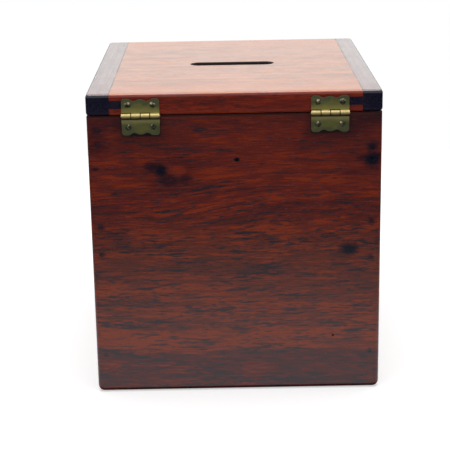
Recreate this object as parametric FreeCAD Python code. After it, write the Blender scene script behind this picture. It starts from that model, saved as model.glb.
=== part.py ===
import FreeCAD, Part
import math
import os

# Donation box: a nailed and rebated hardwood case, a clamped lid with a coin slot,
# two surface hinges on the back and a key-driven hook lock let into the front board.
#
# Millimetres, Z up. The origin is on the floor under the middle of the case.
# The keyhole faces -Y (front) and the hinges are on +Y (back). Left and right are as seen from the front.

Vector = FreeCAD.Vector
UP = Vector(0, 0, 1)
OUT_OF_BACK = Vector(0, 1, 0)
OUT_OF_FRONT = Vector(0, -1, 0)
DOWN = Vector(0, 0, -1)
SIDES = {"left": -1, "right": 1}

# Case boards
CASE_WIDTH = 203.8
CASE_DEPTH = 230.0
CASE_HEIGHT = 203.7
WALL = 12.0
CASE_ROUND = 3.2
CASE_FOOT_ROUND = 4.6
CASE_TOP_ROUND = 0.4
REBATE_LIP = 5.0
BOTTOM_THICKNESS = 10.0
BOTTOM_TONGUE_THICKNESS = 5.0
BOTTOM_TONGUE_LENGTH = 5.0
GLUE_LINE = 0.05
PANEL_PLAY = 0.3

# Lid
LID_THICKNESS = 15.1
LID_GAP = 0.4
LID_OVERHANG = 0.1
LID_ROUND = 2.4
LID_END_WIDTH = {"left": 13.8, "right": 16.2}
TONGUE_THICKNESS = 5.7
TONGUE_LENGTH = 10.5
TONGUE_BELOW_TOP = 4.6
SLOT_LENGTH = 62.0
SLOT_WIDTH = 12.7
SLOT_ROUND = 0.8

# Nails through the front and back boards into the ends of the side boards
NAIL_INSET = 6.7
NAIL_LENGTH = 28.0
NAIL_RADIUS = 0.8
NAIL_HEAD_RADIUS = 1.5
NAIL_HEAD_THICKNESS = 0.8
NAIL_SINK = 0.35
NAIL_CLEARANCE = 0.05
# Each column of nails: two below the top edge, two about mid height, one above the floor
NAILS_BELOW_TOP = {"left": (24.7, 33.0), "right": (9.9, 19.7)}
NAILS_ABOVE_MIDDLE = {"left": (24.0, -2.6), "right": (22.8, 2.6)}
NAIL_ABOVE_FLOOR = 28.5

# Two old worm holes in the back board, one high near the middle and one low to the left
WORM_HOLE_RADIUS = 0.8
WORM_HOLE_DEPTH = 6.0
HIGH_WORM_HOLE_LEFT = 1.2
HIGH_WORM_HOLE_DROP = 31.9
LOW_WORM_HOLE_INSET = 33.4
LOW_WORM_HOLE_RISE = 40.6

# Hinges, surface mounted across the joint between lid and case
HINGE_WIDTH = 26.1
HINGE_INSET = {"left": 36.1, "right": 37.5}
LEAF_BELOW_TOP = 3.3
CASE_LEAF_HEIGHT = 13.4
LEAF_THICKNESS = 1.1
SCALLOP_DEPTH = 1.7
SCALLOP_BUMP_DEPTH = 0.5
SCALLOP_CORNER_RADIUS = 2.2
SCALLOP_HOLLOW_RADIUS = 3.2
SCALLOP_LOBE_SHIFT = 0.6
KNUCKLE_COUNT = 4
KNUCKLE_RADIUS = 2.1
KNUCKLE_GAP = 0.3
KNUCKLE_SWEEP_GAP = 0.3
HINGE_STANDOFF_GAP = 0.1
PIN_RADIUS = 1.0
PIN_RUNNING_CLEARANCE = 0.05
PIN_END = 0.4
PIN_END_ROUND = 0.3
HINGE_SCREW_INSET = 4.55
HINGE_SCREW_DROP = 4.25

# Wood screws with raised countersunk heads
SCREW_HEAD_RADIUS = 2.15
SCREW_SHANK_RADIUS = 1.1
SCREW_DOME = 0.55
SCREW_SLOT_WIDTH = 0.6
SCREW_SLOT_DEPTH = 0.75
SCREW_TIP = 2.0
SCREW_LENGTH = 9.0
SCREW_CLEARANCE = 0.05
SCREW_TURN = 37.0

# Lock, let into the inner face and the top edge of the front board
LOCK_FLANGE = 7.4
LOCK_FOOT = 1.5
LOCK_PLATE_THICKNESS = 1.5
LOCK_CAP_DEPTH = 7.0
LOCK_CAP_WALL = 1.0
LOCK_FIT = 0.2
LOCK_CLEARANCE = 0.3
LOCK_SCREW_INSET = 3.6
LOCK_SCREW_DROP = 9.0
RIVET_RADIUS = 0.8
RIVET_POST = 3.2
RIVET_GRIP = 1.6
DRILL_PIN_RADIUS = 1.25
DRILL_PIN_TIP = 0.6
STUMP_RADIUS = 1.25
STUMP_END = 4.5

# Bolt: a bar with two fingers that slide over the noses of the lid's hooks
BOLT_THICKNESS = 2.5
BOLT_BAR_HEIGHT = 6.0
TALON_GAP = 1.0
TALON_SHANK_GAP = 0.7
TALON_LEAD = 0.6
TALON_LUG_WIDTH = 4.2
FINGER_HEIGHT = 3.0
FINGER_POST_GAP = 0.5
FINGER_NOSE_GAP = 0.6
FINGER_REST_GAP = 0.9
FINGER_SHANK_GAP = 0.5
RISER_NOSE_GAP = 0.6
RISER_WIDTH = 3.0
RISER_SHANK_GAP = 2.5
STUMP_SLOT_CLEARANCE = 0.15
SPRING_THICKNESS = 0.5
SPRING_DROP = 6.5
SPRING_BOW = 1.2
SPRING_WALL_GAP = 1.2
SPRING_LUG_GAP = 1.6

# Strike: a plate let into the lid with two hooks
STRIKE_LENGTH = 58.0
STRIKE_WIDTH = 8.5
STRIKE_THICKNESS = 1.5
STRIKE_SCREW_INSET = 5.0
HOOK_SHANK = 3.0
HOOK_NOSE_HEIGHT = 2.5
HOOK_THICKNESS = 2.0
HOOK_BAR_GAP = 1.7
HOOK_SLOT_CLEARANCE = 0.7

# Key and keyhole
KEY_TURN = 50.0
KEY_SHANK_RADIUS = 2.5
KEY_BIT_RADIUS = 7.0
KEY_BIT_THICKNESS = 2.0
KEY_BIT_LENGTH = 5.0
KEY_WARD_WIDTH = 0.9
KEY_WARD_DEPTH = 2.0
KEY_COLLAR_RADIUS = 3.7
KEY_COLLAR_LENGTH = 2.4
KEY_COLLAR_ROUND = 0.8
KEY_COLLAR_STANDOFF = 2.0
KEY_NECK = 9.0
KEY_KNOP_RADIUS = 3.1
KEY_BOW_RADIUS = 9.0
KEY_BOW_WIRE_RADIUS = 1.8
KEYHOLE_CLEARANCE = 0.5
ESCUTCHEON_WIDTH = 17.0
ESCUTCHEON_HEIGHT = 30.0
ESCUTCHEON_THICKNESS = 1.2
ESCUTCHEON_ROUND = 0.5
ESCUTCHEON_PIN_RADIUS = 0.7
ESCUTCHEON_PIN_HEAD = 1.3
ESCUTCHEON_PIN_DOME = 0.65
ESCUTCHEON_PIN_INSET = 3.4

# Places worked out from the sizes above
SIDE = CASE_WIDTH / 2
BACK = CASE_DEPTH / 2
FRONT = -BACK
INNER_SIDE = SIDE - WALL
INNER_BACK = BACK - WALL
LID_BOTTOM = CASE_HEIGHT + LID_GAP
LID_TOP = LID_BOTTOM + LID_THICKNESS
LID_SIDE = SIDE + LID_OVERHANG
LID_FRONT = FRONT - LID_OVERHANG
LID_JOINT = {side: SIDES[side] * (LID_SIDE - width) for side, width in LID_END_WIDTH.items()}
HINGE_STANDOFF = KNUCKLE_RADIUS + HINGE_STANDOFF_GAP
HINGE_X = {side: SIDES[side] * (SIDE - inset) for side, inset in HINGE_INSET.items()}
HINGE_Y = BACK + HINGE_STANDOFF
HINGE_Z = CASE_HEIGHT + LID_GAP / 2
LID_LEAF_HEIGHT = LID_TOP - LEAF_BELOW_TOP - HINGE_Z
HINGE_SCREW_SPACING = HINGE_WIDTH - 2 * HINGE_SCREW_INSET
HINGE_SCREW_HEIGHT = LID_LEAF_HEIGHT - HINGE_SCREW_DROP
LOCK_FACE = FRONT + WALL
LOCK_BACK = LOCK_FACE - LOCK_PLATE_THICKNESS
LOCK_CAP_FRONT = LOCK_BACK - LOCK_CAP_DEPTH
SELVEDGE_BOTTOM = CASE_HEIGHT - LOCK_PLATE_THICKNESS
WOOD_AHEAD_OF_LOCK = LOCK_CAP_FRONT - LOCK_FIT - FRONT
ESCUTCHEON_PIN_LENGTH = ESCUTCHEON_THICKNESS + WOOD_AHEAD_OF_LOCK / 2

# The lock's works stacked down from the selvedge: finger, hook nose, bar, key
FINGER_TOP = SELVEDGE_BOTTOM - RIVET_POST - FINGER_POST_GAP
FINGER_BOTTOM = FINGER_TOP - FINGER_HEIGHT
HOOK_BOTTOM = FINGER_BOTTOM - FINGER_NOSE_GAP - HOOK_NOSE_HEIGHT
BAR_TOP = HOOK_BOTTOM - HOOK_BAR_GAP
BAR_BOTTOM = BAR_TOP - BOLT_BAR_HEIGHT
BAR_MIDDLE = (BAR_TOP + BAR_BOTTOM) / 2
KEY_Z = BAR_BOTTOM - TALON_GAP - KEY_BIT_RADIUS
CAP_BOTTOM = KEY_Z - KEY_BIT_RADIUS - KEYHOLE_CLEARANCE - LOCK_CLEARANCE - LOCK_CAP_WALL
LOCK_BOTTOM = CAP_BOTTOM - LOCK_FOOT

# The lock's works along its width: the key's turn sets the bolt's travel, and the travel the hooks
BOLT_TRAVEL = KEY_BIT_RADIUS * math.sin(math.radians(KEY_TURN))
TALON_HEIGHT = KEY_SHANK_RADIUS + TALON_SHANK_GAP
BOLT_Y = LOCK_BACK - LOCK_CLEARANCE - BOLT_THICKNESS
HOOK_Y = BOLT_Y + BOLT_THICKNESS / 2
HOOK_NOSE = BOLT_TRAVEL - FINGER_REST_GAP + FINGER_SHANK_GAP
FINGER_LENGTH = HOOK_NOSE + RISER_NOSE_GAP
FINGER_REACH = HOOK_NOSE + FINGER_REST_GAP + FINGER_LENGTH + RISER_WIDTH
HOOK_SPACING = HOOK_SHANK + RISER_SHANK_GAP + FINGER_REACH
HOOK_SHANKS = (-HOOK_SPACING / 2, HOOK_SPACING / 2)
BAR_LEFT = HOOK_SHANKS[0] - FINGER_REACH
CAP_SIDE = LOCK_CAP_WALL + LOCK_CLEARANCE - BAR_LEFT
LOCK_SIDE = CAP_SIDE + LOCK_FLANGE
BAR_RIGHT = HOOK_SHANKS[1]
STUMPS = (BAR_LEFT + BOLT_TRAVEL + STUMP_END, BAR_RIGHT - STUMP_END)


# Small helpers


def block(x0, x1, y0, y1, z0, z1):
    return Part.makeBox(x1 - x0, y1 - y0, z1 - z0, Vector(x0, y0, z0))


def rod(radius, start, direction, length):
    return Part.makeCylinder(radius, length, start, direction)


def placed(shape, origin, direction, spin=0.0):
    """A copy of a shape made about +Z, with its +Z turned to direction and its origin moved."""
    copy = shape.copy()
    aim = FreeCAD.Rotation(UP, direction)
    copy.Placement = FreeCAD.Placement(origin, aim.multiply(FreeCAD.Rotation(UP, spin)))
    return copy


def turned(edges):
    """A solid of revolution about Z from the edges of a closed profile in the XZ plane."""
    face = Part.Face(Part.Wire(Part.__sortEdges__(edges)))
    return face.revolve(Vector(0, 0, 0), UP, 360)


def line(a, b):
    return Part.LineSegment(a, b).toShape()


def polyline(points):
    return [line(a, b) for a, b in zip(points, points[1:])]


def point(r, z):
    return Vector(r, 0, z)


def cap_arc(radius, height):
    """A spherical cap's profile, from the rim at z 0 to the crown on the axis."""
    sphere = (radius**2 + height**2) / (2 * height)
    middle = math.sqrt(sphere**2 - radius**2 / 4) + height - sphere
    return Part.Arc(point(radius, 0), point(radius / 2, middle), point(0, height)).toShape()


def rounded(shape, radius, keep):
    """Fillets the edges for which keep(bounding box) is true."""
    return shape.makeFillet(radius, [e for e in shape.Edges if keep(e.BoundBox)])


def extruded(wire, direction):
    return Part.Face(wire).extrude(direction)


def group(solids):
    return Part.makeCompound(solids)


def cut_all(shape, tools):
    for tool in tools:
        shape = shape.cut(tool)
    return shape


# Case


def case_envelope():
    """The outside of the case with its softened arrises, which are rounder under the sides."""
    body = block(-SIDE, SIDE, FRONT, BACK, 0, CASE_HEIGHT)
    below_top = CASE_HEIGHT / 2
    body = rounded(body, CASE_FOOT_ROUND, lambda b: b.ZMax < GLUE_LINE and b.XLength < GLUE_LINE)
    body = rounded(body, CASE_ROUND, lambda b: b.ZMin < below_top and b.YLength < GLUE_LINE)
    return rounded(body, CASE_TOP_ROUND, lambda b: b.ZMin > CASE_HEIGHT - GLUE_LINE)


def bottom_groove():
    """The groove that runs round the inside of the walls for the bottom board's tongue."""
    reach = BOTTOM_TONGUE_LENGTH
    top = BOTTOM_THICKNESS + GLUE_LINE
    low = BOTTOM_THICKNESS - BOTTOM_TONGUE_THICKNESS - GLUE_LINE
    return block(
        -INNER_SIDE - reach, INNER_SIDE + reach, -INNER_BACK - reach, INNER_BACK + reach, low, top
    )


def nail_places(side):
    """(x, z) of each nail in one column, seen on the front or back board."""
    x = SIDES[side] * (SIDE - NAIL_INSET)
    heights = [CASE_HEIGHT - drop for drop in NAILS_BELOW_TOP[side]]
    heights += [CASE_HEIGHT / 2 + rise for rise in NAILS_ABOVE_MIDDLE[side]]
    heights.append(NAIL_ABOVE_FLOOR)
    return [(x, z) for z in heights]


def nail_shape(gap):
    """A nail about Z with its sunk head just below z 0. A gap above zero makes its hole."""
    top = gap if gap else -NAIL_SINK
    under = -NAIL_SINK - NAIL_HEAD_THICKNESS - gap
    head = rod(NAIL_HEAD_RADIUS + gap, Vector(0, 0, under), UP, top - under)
    length = NAIL_LENGTH - NAIL_SINK - NAIL_HEAD_THICKNESS
    shank = rod(NAIL_RADIUS + gap, Vector(0, 0, under + gap), DOWN, length + gap)
    return head.fuse(shank).removeSplitter()


def nails(face_y, outward, gap=0.0):
    shape = nail_shape(gap)
    return [
        placed(shape, Vector(x, face_y, z), outward)
        for side in SIDES
        for x, z in nail_places(side)
    ]


def end_board(envelope, inner_y, face_y):
    """The front or back board: full width, rebated at each end for the side boards."""
    low, high = sorted((inner_y, face_y))
    board = envelope.common(block(-SIDE, SIDE, low, high, 0, CASE_HEIGHT))
    lip = face_y - math.copysign(REBATE_LIP, face_y)
    near, far = sorted((inner_y, lip))
    for sign in SIDES.values():
        x0, x1 = sorted((sign * (INNER_SIDE - GLUE_LINE), sign * SIDE))
        board = board.cut(block(x0, x1, near, far, 0, CASE_HEIGHT))
    return board.cut(bottom_groove())


def worm_holes():
    """Blind round holes bored straight into the back board's face."""
    places = [
        Vector(-HIGH_WORM_HOLE_LEFT, BACK, CASE_HEIGHT - HIGH_WORM_HOLE_DROP),
        Vector(LOW_WORM_HOLE_INSET - SIDE, BACK, LOW_WORM_HOLE_RISE),
    ]
    return [rod(WORM_HOLE_RADIUS, p, OUT_OF_FRONT, WORM_HOLE_DEPTH) for p in places]


def back_board(envelope):
    board = end_board(envelope, INNER_BACK, BACK)
    board = cut_all(board, nails(BACK, OUT_OF_BACK, NAIL_CLEARANCE))
    board = cut_all(board, worm_holes())
    return cut_all(board, hinge_screw_holes())


def front_board(envelope):
    board = end_board(envelope, -INNER_BACK, FRONT)
    board = cut_all(board, nails(FRONT, OUT_OF_FRONT, NAIL_CLEARANCE))
    board = cut_all(board, lock_mortise())
    board = cut_all(board, lock_screw_holes())
    return cut_all(board, escutcheon_pin_holes())


def side_board(envelope, sign):
    x0, x1 = sorted((sign * INNER_SIDE, sign * SIDE))
    end = BACK - REBATE_LIP - GLUE_LINE
    board = envelope.common(block(x0, x1, -end, end, 0, CASE_HEIGHT))
    board = board.cut(bottom_groove())
    board = cut_all(board, nails(BACK, OUT_OF_BACK, NAIL_CLEARANCE))
    return cut_all(board, nails(FRONT, OUT_OF_FRONT, NAIL_CLEARANCE))


def bottom_board():
    x, y = INNER_SIDE - GLUE_LINE, INNER_BACK - GLUE_LINE
    reach = BOTTOM_TONGUE_LENGTH - PANEL_PLAY
    field = block(-x, x, -y, y, 0, BOTTOM_THICKNESS)
    x, y = INNER_SIDE + reach, INNER_BACK + reach
    tongue = block(-x, x, -y, y, BOTTOM_THICKNESS - BOTTOM_TONGUE_THICKNESS, BOTTOM_THICKNESS)
    return field.fuse(tongue).removeSplitter()


# Lid


def lid_envelope():
    body = block(-LID_SIDE, LID_SIDE, LID_FRONT, BACK, LID_BOTTOM, LID_TOP)
    return body.makeFillet(LID_ROUND, body.Edges)


def tongue_block(side, gap):
    """The tongue on a lid end, or its groove in the panel when gap is above zero."""
    top = LID_TOP - TONGUE_BELOW_TOP
    joint, outward = LID_JOINT[side], SIDES[side]
    x0, x1 = sorted((joint - outward * (TONGUE_LENGTH + gap), joint + outward * GLUE_LINE))
    return block(x0, x1, LID_FRONT, BACK, top - TONGUE_THICKNESS - gap, top + gap)


def coin_slot():
    """The slot's outline, a bar with round ends, as a cutter through the lid."""
    radius = SLOT_WIDTH / 2
    straight = SLOT_LENGTH / 2 - radius
    low, height = LID_BOTTOM - LID_GAP, LID_THICKNESS + 2 * LID_GAP
    bar = block(-straight, straight, -radius, radius, low, low + height)
    for x in (-straight, straight):
        bar = bar.fuse(rod(radius, Vector(x, 0, low), UP, height))
    return bar.removeSplitter()


def on_slot_rim(b):
    at_top = b.ZMin > LID_TOP - GLUE_LINE
    inside = max(-b.XMin, b.XMax) < SLOT_LENGTH / 2 + GLUE_LINE
    return at_top and inside and max(-b.YMin, b.YMax) < SLOT_WIDTH / 2 + GLUE_LINE


def lid_panel(envelope):
    panel = block(LID_JOINT["left"], LID_JOINT["right"], LID_FRONT, BACK, LID_BOTTOM, LID_TOP)
    panel = rounded(envelope.common(panel).cut(coin_slot()), SLOT_ROUND, on_slot_rim)
    panel = cut_all(panel, [tongue_block(side, GLUE_LINE) for side in SIDES])
    panel = cut_all(panel, hinge_screw_holes())
    panel = panel.cut(strike_recess())
    return cut_all(panel, strike_screw_holes())


def lid_end(envelope, side):
    """A clamp across the end of the lid panel, with the tongue that enters the panel's groove."""
    outward = SIDES[side]
    x0, x1 = sorted((LID_JOINT[side] + outward * GLUE_LINE, outward * LID_SIDE))
    end = block(x0, x1, LID_FRONT, BACK, LID_BOTTOM, LID_TOP).fuse(tongue_block(side, 0.0))
    end = envelope.common(end.removeSplitter())
    return cut_all(end, hinge_screw_holes())


# Screws


def screw_profile(length):
    """Half section of a screw about Z, its head's rim at z 0."""
    countersink = SCREW_HEAD_RADIUS - SCREW_SHANK_RADIUS
    corners = [
        point(0, SCREW_DOME),
        point(0, -length),
        point(SCREW_SHANK_RADIUS, SCREW_TIP - length),
        point(SCREW_SHANK_RADIUS, -countersink),
        point(SCREW_HEAD_RADIUS, 0),
    ]
    return polyline(corners) + [cap_arc(SCREW_HEAD_RADIUS, SCREW_DOME)]


def wood_screw(length=SCREW_LENGTH):
    body = turned(screw_profile(length))
    half = SCREW_SLOT_WIDTH / 2
    reach = SCREW_HEAD_RADIUS
    return body.cut(block(-reach, reach, -half, half, SCREW_DOME - SCREW_SLOT_DEPTH, SCREW_DOME))


def screw_hole(length=SCREW_LENGTH):
    """The countersunk hole that a screw fills, with its clearance."""
    head = SCREW_HEAD_RADIUS + SCREW_CLEARANCE
    shank = SCREW_SHANK_RADIUS + SCREW_CLEARANCE
    bottom = -length - SCREW_CLEARANCE
    corners = [
        point(0, SCREW_DOME),
        point(0, bottom),
        point(shank, SCREW_TIP + bottom),
        point(shank, shank - head),
        point(head, 0),
        point(head, SCREW_DOME),
        point(0, SCREW_DOME),
    ]
    return turned(polyline(corners))


def screws_at(places, direction, hole=False):
    shape = screw_hole() if hole else wood_screw()
    return [placed(shape, where, direction, SCREW_TURN * n) for n, where in enumerate(places)]


# Hinges


def hinge_screw_places(rise):
    """Screw centres on the outer face of the lid leaves (rise 1) or the case leaves (rise -1)."""
    y = BACK + LEAF_THICKNESS
    z = HINGE_Z + rise * HINGE_SCREW_HEIGHT
    half = HINGE_SCREW_SPACING / 2
    return [Vector(x + offset, y, z) for x in HINGE_X.values() for offset in (-half, half)]


def hinge_screw_holes():
    return screws_at(hinge_screw_places(1) + hinge_screw_places(-1), OUT_OF_BACK, hole=True)


def arc(a, through, b):
    return Part.Arc(a, through, b).toShape()


def arc_about(centre, a, b):
    """The shorter arc about a centre from one point to another."""
    middle = (a - centre) + (b - centre)
    return arc(a, centre + middle * ((a - centre).Length / middle.Length), b)


def scalloped_edge(height):
    """A leaf's outer edge: a lobe with a rounded corner at each end, two hollows and a bump between."""
    half = HINGE_WIDTH / 2
    corner = Vector(half - SCALLOP_CORNER_RADIUS, 0, height - SCALLOP_CORNER_RADIUS)
    lobe_r = half - HINGE_SCREW_SPACING / 2 - SCALLOP_LOBE_SHIFT
    lobe = Vector(half - lobe_r, 0, height - lobe_r)
    hollow_r = SCALLOP_HOLLOW_RADIUS
    hollow_z = height - SCALLOP_DEPTH + hollow_r
    hollow_x = lobe.x - math.sqrt((lobe_r + hollow_r) ** 2 - (hollow_z - lobe.z) ** 2)
    hollow = Vector(hollow_x, 0, hollow_z)
    rise = SCALLOP_DEPTH - SCALLOP_BUMP_DEPTH
    bump_r = (hollow_x**2 / rise + rise) / 2 - hollow_r
    bump = Vector(0, 0, height - SCALLOP_BUMP_DEPTH - bump_r)
    to_hollow = lobe + (hollow - lobe) * (lobe_r / (lobe_r + hollow_r))
    to_bump = bump + (hollow - bump) * (bump_r / (bump_r + hollow_r))
    past_corner, lobe_end = Vector(corner.x, 0, height), Vector(lobe.x, 0, height)
    right = [
        arc_about(corner, Vector(half, 0, corner.z), past_corner),
        Part.makeLine(past_corner, lobe_end),
        arc_about(lobe, lobe_end, to_hollow),
        arc(to_hollow, hollow - UP * hollow_r, to_bump),
    ]
    left = [edge.mirror(Vector(0, 0, 0), Vector(1, 0, 0)) for edge in right]
    top = arc(to_bump, bump + UP * bump_r, Vector(-to_bump.x, 0, to_bump.z))
    return right + [top] + left


def leaf_plate(height):
    """The flat of a leaf, from clear of the other leaf's knuckles up to its scalloped edge."""
    half = HINGE_WIDTH / 2
    foot = KNUCKLE_RADIUS + KNUCKLE_SWEEP_GAP
    edge = scalloped_edge(height)
    shoulder = edge[0].Vertexes[0].Z
    corners = [
        Vector(-half, 0, shoulder),
        Vector(-half, 0, foot),
        Vector(half, 0, foot),
        Vector(half, 0, shoulder),
    ]
    outline = Part.Wire(Part.__sortEdges__(polyline(corners) + edge))
    plate = extruded(outline, Vector(0, LEAF_THICKNESS, 0))
    plate.translate(Vector(0, -HINGE_STANDOFF, 0))
    return plate


def knuckle(index, bore):
    """One knuckle of the barrel and the strip of leaf that it is rolled from."""
    pitch = HINGE_WIDTH / KNUCKLE_COUNT
    x0 = -HINGE_WIDTH / 2 + index * pitch + (KNUCKLE_GAP / 2 if index else 0)
    x1 = -HINGE_WIDTH / 2 + (index + 1) * pitch - (KNUCKLE_GAP / 2 if index < KNUCKLE_COUNT - 1 else 0)
    start, along = Vector(x0, 0, 0), Vector(1, 0, 0)
    barrel = rod(KNUCKLE_RADIUS, start, along, x1 - x0)
    strip_top = KNUCKLE_RADIUS + KNUCKLE_SWEEP_GAP + LEAF_THICKNESS
    strip = block(x0, x1, -HINGE_STANDOFF, LEAF_THICKNESS - HINGE_STANDOFF, 0, strip_top)
    return barrel.fuse(strip).cut(rod(bore, start, along, x1 - x0))


def hinge_leaf(height, bore):
    """A leaf about the hinge axis, standing up from it, with every second knuckle."""
    leaf = leaf_plate(height)
    for index in range(0, KNUCKLE_COUNT, 2):
        leaf = leaf.fuse(knuckle(index, bore))
    leaf = leaf.removeSplitter()
    half = HINGE_SCREW_SPACING / 2
    y = LEAF_THICKNESS - HINGE_STANDOFF
    places = [Vector(x, y, HINGE_SCREW_HEIGHT) for x in (-half, half)]
    return cut_all(leaf, screws_at(places, OUT_OF_BACK, hole=True))


def lid_leaf(side):
    leaf = hinge_leaf(LID_LEAF_HEIGHT, PIN_RADIUS + PIN_RUNNING_CLEARANCE)
    leaf.translate(Vector(HINGE_X[side], HINGE_Y, HINGE_Z))
    return leaf


def case_leaf(side):
    """A like leaf turned upside down, so that its knuckles fill the gaps in the lid leaf."""
    leaf = hinge_leaf(CASE_LEAF_HEIGHT, PIN_RADIUS)
    leaf.rotate(Vector(0, 0, 0), OUT_OF_BACK, 180)
    leaf.translate(Vector(HINGE_X[side], HINGE_Y, HINGE_Z))
    return leaf


def hinge_pin(side):
    length = HINGE_WIDTH + 2 * PIN_END
    start = Vector(HINGE_X[side] - length / 2, HINGE_Y, HINGE_Z)
    pin = rod(PIN_RADIUS, start, Vector(1, 0, 0), length)
    return rounded(pin, PIN_END_ROUND, lambda b: b.XMax - b.XMin < PIN_END)


# Lock


def keyhole(radius, y0, y1):
    """A keyhole cutter along Y: a round eye for the shank and a slot below it for the bit."""
    eye = rod(radius, Vector(0, y0, KEY_Z), OUT_OF_BACK, y1 - y0)
    half = KEY_BIT_THICKNESS / 2 + KEYHOLE_CLEARANCE
    drop = KEY_BIT_RADIUS + KEYHOLE_CLEARANCE
    return eye.fuse(block(-half, half, y0, y1, KEY_Z - drop, KEY_Z)).removeSplitter()


def lock_mortise():
    """What is cut from the front board: the plate's bed, the cap's pocket and the keyhole."""
    half = LOCK_SIDE + LOCK_FIT
    bed = block(-half, half, LOCK_BACK, LOCK_FACE, LOCK_BOTTOM - LOCK_FIT, CASE_HEIGHT)
    front = LOCK_CAP_FRONT - LOCK_FIT
    selvedge = block(-half, half, front, LOCK_FACE, SELVEDGE_BOTTOM, CASE_HEIGHT)
    half = CAP_SIDE + LOCK_FIT
    pocket = block(-half, half, front, LOCK_BACK, CAP_BOTTOM - LOCK_FIT, CASE_HEIGHT)
    hole = keyhole(KEY_SHANK_RADIUS + KEYHOLE_CLEARANCE, FRONT, LOCK_BACK)
    return [bed, selvedge, pocket, hole]


def lock_screw_places():
    x = LOCK_SIDE - LOCK_SCREW_INSET
    heights = (CASE_HEIGHT - LOCK_SCREW_DROP, LOCK_BOTTOM + LOCK_SCREW_INSET)
    return [Vector(sign * x, LOCK_FACE, z) for sign in SIDES.values() for z in heights]


def lock_screw_holes():
    return screws_at(lock_screw_places(), OUT_OF_BACK, hole=True)


def hook_slot(shank):
    """The opening in the lock's top edge through which one hook drops."""
    c = HOOK_SLOT_CLEARANCE
    half = HOOK_THICKNESS / 2 + c
    return block(
        shank - HOOK_NOSE - c,
        shank + HOOK_SHANK + c,
        HOOK_Y - half,
        HOOK_Y + half,
        SELVEDGE_BOTTOM,
        CASE_HEIGHT,
    )


def rivet_places():
    x = CAP_SIDE - LOCK_CAP_WALL - RIVET_POST / 2
    low = CAP_BOTTOM + LOCK_CAP_WALL + RIVET_POST / 2
    high = SELVEDGE_BOTTOM - RIVET_POST / 2
    return [(sign * x, z) for sign in SIDES.values() for z in (low, high)]


def lock_plate():
    """The plate on the board's inner face and the selvedge folded over the board's top edge."""
    face = block(-LOCK_SIDE, LOCK_SIDE, LOCK_BACK, LOCK_FACE, LOCK_BOTTOM, CASE_HEIGHT)
    selvedge = block(-LOCK_SIDE, LOCK_SIDE, LOCK_CAP_FRONT, LOCK_FACE, SELVEDGE_BOTTOM, CASE_HEIGHT)
    plate = face.fuse(selvedge).removeSplitter()
    plate = cut_all(plate, [hook_slot(shank) for shank in HOOK_SHANKS])
    plate = cut_all(plate, lock_screw_holes())
    return cut_all(plate, lock_pins() + lock_rivets())


def lock_cap():
    """The pressed box over the works, open to the plate and under the selvedge."""
    inside = CAP_SIDE - LOCK_CAP_WALL
    front = LOCK_CAP_FRONT + LOCK_CAP_WALL
    floor = CAP_BOTTOM + LOCK_CAP_WALL
    shell = block(-CAP_SIDE, CAP_SIDE, LOCK_CAP_FRONT, LOCK_BACK, CAP_BOTTOM, SELVEDGE_BOTTOM)
    shell = shell.cut(block(-inside, inside, front, LOCK_BACK, floor, SELVEDGE_BOTTOM))
    half = RIVET_POST / 2
    for x, z in rivet_places():
        shell = shell.fuse(block(x - half, x + half, front, LOCK_BACK, z - half, z + half))
    shell = shell.removeSplitter()
    shell = shell.cut(keyhole(KEY_SHANK_RADIUS + KEYHOLE_CLEARANCE, LOCK_CAP_FRONT, front))
    return cut_all(shell, lock_rivets())


def lock_rivets():
    """Rivets that hold the cap to the plate through the posts in its corners."""
    length = LOCK_PLATE_THICKNESS + RIVET_GRIP
    return [rod(RIVET_RADIUS, Vector(x, LOCK_FACE, z), OUT_OF_FRONT, length) for x, z in rivet_places()]


def spring_post():
    """(x, z) of the post that holds the spring's outer end, just inside the cap's wall."""
    x = LOCK_CAP_WALL - CAP_SIDE + SPRING_WALL_GAP + STUMP_RADIUS
    return (x, BAR_BOTTOM - SPRING_DROP)


def lock_pins():
    """The drill pin, the two stumps that guide the bolt and the spring's post, all riveted in the plate."""
    drill = LOCK_PLATE_THICKNESS + LOCK_CLEARANCE + KEY_BIT_LENGTH + DRILL_PIN_TIP
    short = LOCK_PLATE_THICKNESS + BOLT_THICKNESS + 2 * LOCK_CLEARANCE
    posts = [(x, BAR_MIDDLE) for x in STUMPS] + [spring_post()]
    pins = [rod(DRILL_PIN_RADIUS, Vector(0, LOCK_FACE, KEY_Z), OUT_OF_FRONT, drill)]
    pins += [rod(STUMP_RADIUS, Vector(x, LOCK_FACE, z), OUT_OF_FRONT, short) for x, z in posts]
    return pins


def bolt_part(x0, x1, z0, z1):
    return block(x0, x1, BOLT_Y, BOLT_Y + BOLT_THICKNESS, z0, z1)


def bolt_finger(shank):
    """A riser from the bar and the finger that points at one hook, drawn back at rest."""
    tip = shank - HOOK_NOSE - FINGER_REST_GAP
    root = tip - FINGER_LENGTH
    finger = bolt_part(root, tip, FINGER_BOTTOM, FINGER_TOP)
    return finger.fuse(bolt_part(root - RISER_WIDTH, root, BAR_TOP, FINGER_TOP))


def talon_lugs():
    """The x spans of the lugs behind and ahead of the key's bit.

    The lug behind leaves room for the bit's foot, which leans back against it at the full turn.
    """
    turn = math.radians(KEY_TURN)
    half = KEY_BIT_THICKNESS / 2
    foot = TALON_HEIGHT * math.tan(turn) - half / math.cos(turn)
    behind = BOLT_TRAVEL - foot + LOCK_CLEARANCE
    ahead = half + TALON_LEAD
    return (-behind - TALON_LUG_WIDTH, -behind), (ahead, ahead + TALON_LUG_WIDTH)


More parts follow.
